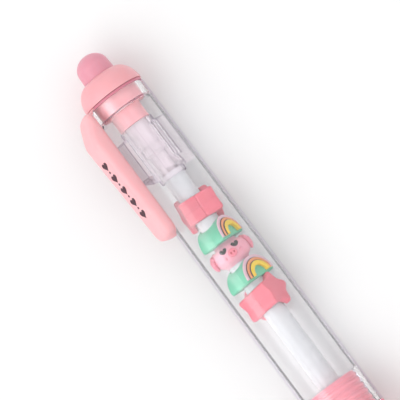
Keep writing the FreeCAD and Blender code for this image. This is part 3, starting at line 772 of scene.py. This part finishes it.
# ---- charm beads --------------------------------------------------------------------------------
BEAD_HOLE = 2.42
BEAD_VOXEL = 0.11
STAR_DEPTH = 7.4
STAR_TIP = (4.2, 0.7)
STAR_VALLEY = (2.58, 0.4)
SEAM_DEPTH = 0.18
SEAM_WIDTH = 0.15
RAINBOW_HEIGHT = 4.5
RAINBOW_RADIUS = 4.2
RAINBOW_BACK = -2.75
RAINBOW_FRONT = 3.0
REAR_STAR_TURN = -80
REAR_RAINBOW_TURN = 60
PIG_TURN = 4
FRONT_RAINBOW_TURN = 47
FRONT_STAR_TURN = 55


def prism(outline, back, front, crown=0.0):
    """Closed prism over an outline in x and y between two depths, its ends softened and slightly domed."""
    mesh = bmesh.new()
    edge = ((0.0, 0.93), (0.12, 0.97), (0.35, 1.0))
    levels = [(back + z, scale) for z, scale in edge] + [(front - z, scale) for z, scale in reversed(edge)]
    sections = [[mesh.verts.new((x * scale, y * scale, z)) for x, y in outline] for z, scale in levels]
    add_skin(mesh, sections)
    count = len(outline)
    for section, z in ((sections[0], back - crown), (sections[-1], front + crown)):
        tip = mesh.verts.new((0, 0, z))
        for i in range(count):
            j = (i + 1) % count
            mesh.faces.new((section[i], section[j], tip))
    bmesh.ops.recalc_face_normals(mesh, faces=mesh.faces)
    return mesh


def star_outline(arm_side):
    """Fat five-armed star with round tips and soft valleys, its single arm along y on the given side."""
    corners = []
    for k in range(10):
        radius, corner = STAR_VALLEY if k % 2 else STAR_TIP
        angle = math.pi * k / 5
        corners.append((radius * math.sin(angle), arm_side * radius * math.cos(angle), corner))
    return softened(corners, steps=8)


def build_star(name, node, body, turn, arm_side, shift, tilt):
    """Star bead with a moulding seam round its middle. shift moves it across the tube."""
    blank = prism(star_outline(arm_side), shift - STAR_DEPTH / 2, shift + STAR_DEPTH / 2, 0.05)
    mesh = moulded(blank, BEAD_VOXEL, 16, axis_rod(BEAD_HOLE, 12))
    mesh.normal_update()
    for vert in mesh.verts:
        seam = SEAM_DEPTH * math.exp(-((vert.co.z - shift) / SEAM_WIDTH) ** 2)
        if vert.co.yz.length > BEAD_HOLE + 0.12:
            vert.co -= vert.normal * seam
    mesh.transform(face_frame(middle(node), turn, tilt))
    attach(finish_mesh(name, mesh, "coral", 60), body, "coral_plastic", node)


def arch_outline():
    """Arch on its flat side: the crown is towards -x."""
    foot = RAINBOW_HEIGHT / 2
    spring = foot - (RAINBOW_HEIGHT - RAINBOW_RADIUS)
    points = []
    for k in range(41):
        angle = math.pi * k / 40
        points.append((spring - RAINBOW_RADIUS * math.sin(angle), -RAINBOW_RADIUS * math.cos(angle)))
    flat = [(foot, y) for y in (3.9, 2.6, 1.3, 0, -1.3, -2.6, -3.9)]
    return points + [(foot - 0.15, 4.12)] + flat + [(foot - 0.15, -4.12)]


def band_mesh(inner, outer, thickness, foot, sink=0.12):
    """Half ring with a rounded face, standing on the bead's face."""
    middle_radius = (inner + outer) / 2
    half = (outer - inner) / 2
    crown = min(0.12, thickness * 0.5)
    profile = [(half, -sink)]
    for k in range(11):
        angle = math.pi * k / 10
        profile.append((half * math.cos(angle), thickness - crown + crown * math.sin(angle)))
    profile.append((-half, -sink))
    sections = []
    steps = 56
    for k in range(steps + 1):
        angle = math.pi * k / steps
        section = []
        for offset, z in profile:
            r = middle_radius + offset
            section.append((foot - r * math.sin(angle), -r * math.cos(angle), RAINBOW_FRONT + z))
        sections.append(section)
    return loft_mesh(sections)


# Name, inner radius, outer radius and height of each raised arc on a rainbow.
BANDS = (("lilac", 3.42, 4.08, 0.14), ("orange", 2.74, 3.32, 0.42), ("yellow", 1.72, 2.6, 0.66))
# Name, inner radius, outer radius and height of each dark ring just outside a band: partly brown paint,
# partly painted shade in the step.
LINES = (("outer", 2.8, 3.42, 0.32), ("inner", 1.8, 2.72, 0.56))


def build_rainbow(place, body, turn):
    """Arch bead with three raised bands and the dark lines between them, partly brown paint and partly
    painted shade in the steps.
    """
    node = "rainbow_bead_" + place
    matrix = face_frame(middle(node), turn)
    blank = prism(arch_outline(), RAINBOW_BACK, RAINBOW_FRONT)
    mesh = moulded(blank, BEAD_VOXEL, 4, axis_rod(BEAD_HOLE, 12))
    mesh.transform(matrix)
    attach(finish_mesh("rainbow_body_" + place, mesh, "mint", 60), body, "mint_plastic", node)
    foot = RAINBOW_HEIGHT / 2 - 0.45
    for colour, inner, outer, height in BANDS:
        mesh = band_mesh(inner, outer, height, foot)
        mesh.transform(matrix)
        piece = finish_mesh(colour + "_arc_" + place, mesh, colour, 50)
        attach(piece, body, colour + "_paint", colour + "_band_" + place)
    for label, inner, outer, height in LINES:
        mesh = band_mesh(inner, outer, height, foot - 0.02)
        mesh.transform(matrix)
        attach(finish_mesh(label + "_line_" + place, mesh, "line", 50), body, "dark_paint")


# ---- pig bead -----------------------------------------------------------------------------------
PIG_RADIUS = 3.8
PIG_HALF = 2.4
PIG_FULLEST = 0.15


def pig_radius(along):
    """Head radius at a distance along the pen from its middle: fuller towards the cheeks."""
    reach = PIG_HALF + (PIG_FULLEST if along < PIG_FULLEST else -PIG_FULLEST)
    t = (along - PIG_FULLEST) / reach
    return PIG_RADIUS * max(1 - abs(t) ** 2.5, 0) ** (1 / 2.3)


def pig_skin(along, across, lift=0.0):
    """Point on the face of the head, before it is placed."""
    radius = pig_radius(along) + lift
    return Vector((along, across, math.sqrt(max(radius ** 2 - across ** 2, 0))))


def build_pig_head(matrix):
    steps = 40
    outline = []
    for k in range(steps + 1):
        along = -PIG_HALF * math.cos(math.pi * k / steps)
        radius = pig_radius(along)
        if radius > BEAD_HOLE + 0.1:
            outline.append((along, radius, 0))
    outline = [(-PIG_HALF, BEAD_HOLE, 0.1), (-PIG_HALF, outline[0][1] - 0.2, 0.2)] + outline
    outline += [(PIG_HALF, outline[-1][1] - 0.2, 0.2), (PIG_HALF, BEAD_HOLE, 0.1)]
    mesh = turned_mesh(softened(outline), 128)
    bmesh.ops.translate(mesh, vec=(-START, 0, 0), verts=mesh.verts)
    mesh.transform(matrix)
    attach(finish_mesh("pig_head_skin", mesh, "pig", 50), "pig_bead", "pig_plastic", "pig_head")


def build_pig_ears(matrix):
    """Drooping ears: a soft leaf that starts at the top of the head and hangs beside it."""
    mesh = bmesh.new()
    leaf = (
        (-1.35, 3.1, 0.62), (-1.0, 3.7, 0.72), (-0.4, 4.0, 0.78),
        (0.2, 4.08, 0.74), (0.75, 4.02, 0.6), (1.15, 3.92, 0.42),
    )
    for side in (-1, 1):
        for along, across, size in leaf:
            add_ellipsoid(mesh, (along, side * across, 0.35), (size, size * 0.78, size * 1.25), segments=24)
    mesh = moulded(mesh, BEAD_VOXEL, 6)
    mesh.transform(matrix)
    attach(finish_mesh("pig_ear_pair", mesh, "ear", 60), "pig_bead", "pig_ear_plastic", "pig_ears")


def build_pig_eyes(matrix):
    """Two dark beans, hollow on top, lying on the face."""
    mesh = bmesh.new()
    eye_along = -0.98
    eye_across = 1.32
    lobes = ((-0.4, 0.0), (0.4, 0.0), (-0.22, 0.22), (0.22, 0.22), (0.0, 0.3))
    for side in (-1, 1):
        for across, along in lobes:
            centre = pig_skin(eye_along + along, side * (eye_across + across), -0.02)
            add_ellipsoid(mesh, centre, (0.4, 0.4, 0.24), segments=20)
    mesh = moulded(mesh, 0.05, 4)
    mesh.transform(matrix)
    attach(finish_mesh("pig_eye_pair", mesh, "eye", 60), "pig_bead", "dark_paint", "pig_eyes")


def build_pig_snout(matrix):
    """Flat round snout with a soft rim, two nostrils and a pair of cheeks."""
    mesh = bmesh.new()
    profile = [
        (0.0, -0.5), (0.86, -0.5), (0.95, 0.1), (0.93, 0.42),
        (0.82, 0.6), (0.66, 0.64), (0.5, 0.56), (0.0, 0.54),
    ]
    centre = pig_skin(0.35, 0)
    steps = 48
    rows = []
    for k in range(steps):
        angle = 2 * math.pi * k / steps
        c = math.cos(angle)
        s = math.sin(angle)
        rows.append([mesh.verts.new(centre + Vector((r * 0.93 * c, r * s, z))) for r, z in profile])
    for k in range(steps):
        a = rows[k]
        b = rows[(k + 1) % steps]
        for i in range(len(profile) - 1):
            mesh.faces.new((a[i], a[i + 1], b[i + 1], b[i]))
    bmesh.ops.remove_doubles(mesh, verts=mesh.verts, dist=1e-5)
    bmesh.ops.dissolve_degenerate(mesh, edges=mesh.edges, dist=1e-6)
    mesh.transform(matrix)
    attach(finish_mesh("pig_snout_disc", mesh, "snout", 60), "pig_bead", "snout_plastic", "pig_snout")
    mesh = bmesh.new()
    for side in (-1, 1):
        add_ellipsoid(mesh, centre + Vector((-0.02, side * 0.36, 0.6)), (0.24, 0.16, 0.1), segments=20)
    mesh.transform(matrix)
    attach(finish_mesh("pig_nostrils", mesh, "nostril", 60), "pig_bead", "snout_plastic")
    mesh = bmesh.new()
    for side in (-1, 1):
        add_ellipsoid(mesh, pig_skin(0.55, side * 1.72, -0.05), (0.42, 0.42, 0.25), segments=28)
    mesh.transform(matrix)
    attach(finish_mesh("pig_cheek_pair", mesh, "ear", 60), "pig_bead", "snout_plastic", "pig_cheeks")


def build_pig():
    matrix = face_frame(middle("pig_head"), PIG_TURN)
    build_pig_head(matrix)
    build_pig_ears(matrix)
    build_pig_eyes(matrix)
    build_pig_snout(matrix)


# ---- front section ------------------------------------------------------------------------------
GRIP_START, GRIP_END = stations("grip_sleeve")
GRIP_RADIUS = radius_of("grip_sleeve")
CORE_END = stations("front_section")[1]
NOSE_START, PEN_END = stations("nose_cone")
CORE_RADIUS = 5.1
COLLAR_RADIUS = 5.7
STUB_RADIUS = 4.2
FRONT_BORE = 3.4
THREAD_ROOT = 5.1
THREAD_RIDGE = 0.22


def unit_range(value):
    return min(max(value, 0), 1)


def thread_height(station, angle):
    """Radius of the spigot's screw thread, which fades out at both ends."""
    phase = ((station - THREAD_START) / THREAD_PITCH - angle / (2 * math.pi)) % 1.0
    crest = unit_range((0.5 - abs(phase - 0.5)) * 5 - 0.6)
    fade = unit_range((station - THREAD_START - 0.3) / 0.5) * unit_range((BARREL_END - 0.1 - station) / 0.4)
    return THREAD_ROOT + THREAD_RIDGE * crest * fade


def build_front_core():
    """Hollow core under the grip: the spigot in the barrel, a collar, and the stub that holds the nose."""
    shoulder = GRIP_START + 1.15
    spigot = THREAD_START + 0.1
    spigot_radius = THREAD_ROOT - 0.02
    collar = BARREL_END + 0.05
    stub = GRIP_END + 0.05
    tube_seat = 82.5
    tube_socket = 2.41
    refill_hole = 2.0
    outline = [
        (spigot, tube_socket), (spigot, 5.0, 0.1), (spigot + 0.1, spigot_radius, 0),
        (collar, spigot_radius, 0), (collar, COLLAR_RADIUS, 0.05), (shoulder, COLLAR_RADIUS, 0.05),
        (shoulder, CORE_RADIUS), (stub, CORE_RADIUS), (stub, STUB_RADIUS), (CORE_END, STUB_RADIUS),
        (CORE_END, FRONT_BORE), (tube_seat + 0.9, FRONT_BORE), (tube_seat + 0.9, refill_hole),
        (tube_seat, refill_hole), (tube_seat, tube_socket),
    ]
    core = turned_piece("front_core", outline, "grip", 128)
    attach(core, "front_section", "grip_plastic", "front_section")


def build_front_thread():
    """Spiral ridge of the spigot, a thin shell on its wall."""
    mesh = bmesh.new()
    around = 144
    along = 156
    first = THREAD_START + 0.15
    last = BARREL_END + 0.04
    inner = THREAD_ROOT - 0.1

    def circle(station, radius):
        """Row of vertices round the axis. radius gives a value for each angle."""
        row = []
        for k in range(around):
            angle = 2 * math.pi * k / around
            r = radius(angle)
            row.append(mesh.verts.new((START + station, r * math.sin(angle), r * math.cos(angle))))
        return row

    rows = []
    for i in range(along + 1):
        station = first + (last - first) * i / along
        rows.append(circle(station, lambda angle: thread_height(station, angle)))
    inner_rows = [circle(station, lambda angle: inner) for station in (last, first)]
    add_skin(mesh, rows + inner_rows + [rows[0]])
    attach(finish_mesh("front_thread", mesh, "grip", 60), "front_section", "grip_plastic")


def build_grip():
    """Soft sleeve with evenly spaced grooves."""
    count = 16
    margin = 2.0
    groove = GRIP_RADIUS - 0.4
    core = CORE_RADIUS + 0.03
    collar = COLLAR_RADIUS + 0.03
    step = GRIP_START + 1.2
    pitch = (GRIP_END - GRIP_START - 2 * margin) / count
    outline = [(GRIP_START, collar), (GRIP_START, GRIP_RADIUS, 0.15)]
    for i in range(count):
        s = GRIP_START + margin + i * pitch
        outline += [
            (s, GRIP_RADIUS, 0.2), (s + 0.3, groove, 0.15),
            (s + 0.7, groove, 0.15), (s + 1.0, GRIP_RADIUS, 0.2),
        ]
    outline += [(GRIP_END, GRIP_RADIUS, 0.4), (GRIP_END, core), (step, core, 0.05), (step, collar, 0.05)]
    grip = turned_piece("grip_rubber_sleeve", outline, "rubber", 144, sharp=50)
    attach(grip, "front_section", "grip_rubber", "grip_sleeve")


def lagrange(points, x):
    """Value at x of the polynomial through a few (x, y) points."""
    total = 0.0
    for i, (xi, yi) in enumerate(points):
        term = yi
        for j, (xj, _) in enumerate(points):
            if i != j:
                term *= (x - xj) / (xi - xj)
        total += term
    return total


def build_nose():
    """Nose cone: a smooth taper outside, and a stepped bore that holds the spring and lets the nib out."""
    first = NOSE_START + 0.3
    last = PEN_END - 1.2
    taper = [(NOSE_START, 6.2), (129.0, 5.7), (135.0, 4.5), (141.0, 3.0), (last, 1.9)]
    curve = []
    steps = 40
    for k in range(steps + 1):
        s = first + (last - first) * k / steps
        curve.append((s, lagrange(taper, s), 0))
    stub_bore = STUB_RADIUS + 0.03
    stub_end = CORE_END + 0.1
    spring_seat = 138.5
    nib_hole = 1.25
    tip_bore = 2.3
    outline = [(NOSE_START, stub_bore), (NOSE_START, 6.05, 0.1)] + curve + [
        (PEN_END, 1.65, 0.3), (PEN_END, nib_hole, 0.08), (144.5, nib_hole), (140.6, tip_bore),
        (spring_seat, tip_bore), (spring_seat, 3.05), (stub_end, FRONT_BORE), (stub_end, stub_bore),
    ]
    attach(turned_piece("nose_shell", outline, "nose", 128), "front_section", "nose_plastic", "nose_cone")


# ---- return spring ------------------------------------------------------------------------------
def build_spring():
    """Coil with closed ends, built at one length; in the pen it shortens as the button goes in."""
    start = 117.5
    end = 138.25
    wire = 0.22
    coil = 2.75
    turns = 10
    closed = 0.06
    length = end - start
    steps = turns * 40
    around = 12
    sections = []
    for k in range(steps + 1):
        t = k / steps
        angle = 2 * math.pi * turns * t
        rear = wire * min(t / closed, 1)
        front = wire * max((t - 1 + closed) / closed, 0)
        share = unit_range((t - closed) / (1 - 2 * closed))
        station = start + rear + front + (length - 2 * wire) * share
        out = Vector((0, math.sin(angle), math.cos(angle)))
        centre = X_AXIS * (START + station) + out * coil
        section = []
        for j in range(around):
            a = 2 * math.pi * j / around
            section.append(centre + (out * math.cos(a) + X_AXIS * math.sin(a)) * wire)
        sections.append(section)
    piece = finish_mesh("return_spring_coil", loft_mesh(sections), "steel", 60)
    attach(piece, "return_spring", "spring_steel", "return_spring")
    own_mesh(piece)


# ---- pieces kept from the CAD -------------------------------------------------------------------
KEPT = {
    "plunger": "mechanism", "rotary_cam": "mechanism", "refill_plug": "mechanism", "refill_tube": "mechanism",
    "gel_ink": "ink", "ink_follower": "follower", "spring_collar": "natural", "tip_holder": "natural",
    "nib": "nib", "writing_ball": "carbide",
}


def dress_cad_nodes():
    """Puts detailed materials on the CAD nodes that keep their own shape."""
    for node, material in KEPT.items():
        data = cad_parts[node].data
        data.materials.clear()
        data.materials.append(MATERIALS[material])


# ---- stage, light and camera --------------------------------------------------------------------
def build_floor():
    material, tree, shader, _, coordinates = new_material("pale_floor")
    cloud = add_noise(tree, coordinates, 3, 3.0)
    tree.links.new(
        mix_colours(tree, map_range(tree, cloud, 0.0, 1.0), (0.9, 0.9, 0.9, 1), (0.885, 0.885, 0.885, 1)),
        shader.inputs["Base Color"],
    )
    shader.inputs["Roughness"].default_value = 0.8
    shader.inputs["Specular IOR Level"].default_value = 0.2
    mesh = bmesh.new()
    bmesh.ops.create_grid(mesh, x_segments=1, y_segments=1, size=2.5)
    data = bpy.data.meshes.new("floor")
    mesh.to_mesh(data)
    mesh.free()
    data.materials.append(material)
    floor = bpy.data.objects.new("floor", data)
    floor.location.z = cad_low.z - 0.0002
    bpy.context.scene.collection.objects.link(floor)


def add_softbox(name, position, target, width, height, power):
    light = bpy.data.lights.new(name, "AREA")
    light.shape = "RECTANGLE"
    light.size = width
    light.size_y = height
    light.energy = power
    lamp = bpy.data.objects.new(name, light)
    lamp.location = position
    lamp.rotation_euler = (Vector(target) - Vector(position)).to_track_quat("-Z", "Y").to_euler()
    bpy.context.scene.collection.objects.link(lamp)


def build_lights():
    """Bright sky dome over a dim horizon, with one large soft box beside the camera."""
    world = bpy.data.worlds.new("studio")
    bpy.context.scene.world = world
    world.use_nodes = True
    tree = world.node_tree
    background = tree.nodes["Background"]
    direction = tree.nodes.new("ShaderNodeTexCoord")
    split = tree.nodes.new("ShaderNodeSeparateXYZ")
    tree.links.new(direction.outputs["Generated"], split.inputs["Vector"])
    height = map_range(tree, split.outputs["Z"], 0.0, 1.0, 0.05, 0.5)
    colour = mix_colours(tree, height, (0.6, 0.6, 0.62, 1.0), (0.97, 0.97, 0.97, 1.0))
    tree.links.new(colour, background.inputs["Color"])
    background.inputs["Strength"].default_value = 1.0
    add_softbox("key", (0.0, -0.49, 0.52), (-0.03, 0.0, 0.0), 0.9, 0.42, 2.05)


def build_camera():
    """View from above the button end, leaning a little along the pen, which runs down to the right."""
    target = Vector((START + 35.8, 1.28, 0)) * MM
    lean = math.radians(6.7)
    roll = math.radians(53.17)
    distance = 0.7
    view_width = 76.923 * MM
    along = Vector((math.cos(lean), 0, -math.sin(lean)))
    across = Vector((0, 1, 0))
    back = Vector((math.sin(lean), 0, math.cos(lean)))
    right = along * math.cos(roll) + across * math.sin(roll)
    up = across * math.cos(roll) - along * math.sin(roll)
    data = bpy.data.cameras.new("camera")
    data.sensor_width = 36
    data.lens = 36 * distance / view_width
    data.clip_start = 0.05
    data.clip_end = 20
    camera = bpy.data.objects.new("camera", data)
    matrix = Matrix((right, up, back)).transposed().to_4x4()
    matrix.translation = target + back * distance
    camera.matrix_world = matrix
    bpy.context.scene.collection.objects.link(camera)
    bpy.context.scene.camera = camera


# ---- the scene ----------------------------------------------------------------------------------
build_camera()
build_button()
build_cap()
build_barrel()
build_cam_sleeve()
build_guide_tube()
build_clip()
build_clip_ring()
build_clip_print()
build_star("star_rear_body", "star_bead_rear", "star_bead_rear", REAR_STAR_TURN, -1, -0.25, -3.5)
build_rainbow("rear", "rainbow_bead_rear", REAR_RAINBOW_TURN)
build_pig()
build_rainbow("front", "rainbow_bead_front", FRONT_RAINBOW_TURN)
build_star("star_front_body", "star_bead_front", "star_bead_front", FRONT_STAR_TURN, 1, 0.0, 3.5)
build_front_core()
build_front_thread()
build_grip()
build_nose()
build_spring()
dress_cad_nodes()
build_floor()
build_lights()
bpy.context.scene.view_settings.view_transform = "Standard"
